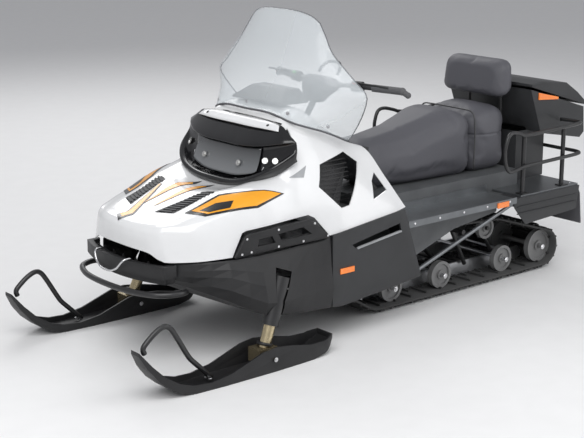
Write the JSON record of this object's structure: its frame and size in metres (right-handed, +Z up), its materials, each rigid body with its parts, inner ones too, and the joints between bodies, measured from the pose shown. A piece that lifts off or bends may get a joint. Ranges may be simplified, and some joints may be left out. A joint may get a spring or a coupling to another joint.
{
  "type": "snowmobile",
  "caption": "Two-seat utility snowmobile with steered skis, a wide rubber track, tall windshield, tilting hood, backrest and a lidded rear cargo box in a rack.",
  "frame": {"origin": "bottom centre of the whole machine, on the ground plane, on its mirror plane", "axes": "+X forward, +Y to the machine's left, +Z up"},
  "size_m": [2.942, 1.146, 1.402],
  "materials": {
    "white_panels": "gloss",
    "black_plastic": "textured",
    "grey_plastic": "textured",
    "pod_black": "gloss",
    "black_tube": "satin",
    "tunnel_metal": "satin",
    "board_metal": "satin",
    "rail_metal": "brushed",
    "steel": "brushed",
    "gold_tube": "satin",
    "engine_metal": "cast",
    "seat_vinyl": "grained",
    "belt_rubber": "matte",
    "soft_rubber": "matte",
    "wheel_plastic": "satin",
    "clear_screen": "polished",
    "smoke_lens": "polished",
    "amber_lens": "gloss"
  },
  "bodies": {
    "chassis": {"belly_pan": "black_plastic", "front_fascia": "black_plastic", "front_bumper": "black_tube", "tow_handle": "steel", "intake_panels": "black_plastic", "side_panels": "grey_plastic", "engine_block": "engine_metal", "front_subframe": "black_tube", "tunnel": "tunnel_metal", "running_boards": "board_metal", "cargo_deck": "board_metal", "rear_skirts": "grey_plastic", "snow_flap": "soft_rubber", "cargo_rack": "black_tube", "tow_hitch": "black_tube", "seat_front": "seat_vinyl", "seat_rear": "seat_vinyl", "backrest_pad": "seat_vinyl", "backrest_frame": "black_tube", "cargo_box": "grey_plastic", "reflectors": "amber_lens", "console": "grey_plastic", "track": "belt_rubber", "slide_rails": "rail_metal", "track_wheels": "wheel_plastic", "suspension_arms": "black_tube", "drive_axle": "steel"},
    "box_lid": {"cargo_box_lid": "grey_plastic"},
    "steering": {"handlebar": "black_tube", "grips": "soft_rubber", "bar_controls": "black_plastic", "bar_pad": "soft_rubber", "grab_strap": "soft_rubber"},
    "hood_body": {"hood": "white_panels", "headlight_pod": "pod_black", "headlight_lens": "smoke_lens", "hood_vents": "black_plastic", "dash_cowl": "grey_plastic", "windshield": "clear_screen"},
    "left_ski": {"spindle_left": "gold_tube", "ski_left": "black_plastic", "ski_loop_left": "black_tube"},
    "right_ski": {"spindle_right": "gold_tube", "ski_right": "black_plastic", "ski_loop_right": "black_tube"}
  },
  "joints": [
    {"name": "hood_hinge", "type": "hinge", "parent": "chassis", "child": "hood_body", "pos_m": [1.231, 0, 0.462], "axis": [0, 1, 0], "range_deg": [0, 60]},
    {"name": "box_lid_hinge", "type": "hinge", "parent": "chassis", "child": "box_lid", "pos_m": [-1.031, 0, 0.956], "axis": [0, 1, 0], "range_deg": [0, 75]},
    {"name": "steering_turn", "type": "hinge", "parent": "chassis", "child": "steering", "pos_m": [0.106, 0, 1.032], "axis": [-0.5592, 0, 0.829], "range_deg": [-36, 36]},
    {"name": "left_ski_turn", "type": "hinge", "parent": "chassis", "child": "left_ski", "pos_m": [0.841, 0.485, 0.055], "axis": [-0.3732, -0.0872, 0.9237], "range_deg": [-27, 27]},
    {"name": "right_ski_turn", "type": "hinge", "parent": "chassis", "child": "right_ski", "pos_m": [0.841, -0.485, 0.055], "axis": [-0.3732, 0.0872, 0.9237], "range_deg": [-27, 27]}
  ],
  "couplings": [
    {"joint": "left_ski_turn", "follows": "steering_turn", "ratio": 0.75},
    {"joint": "right_ski_turn", "follows": "steering_turn", "ratio": 0.75}
  ]
}
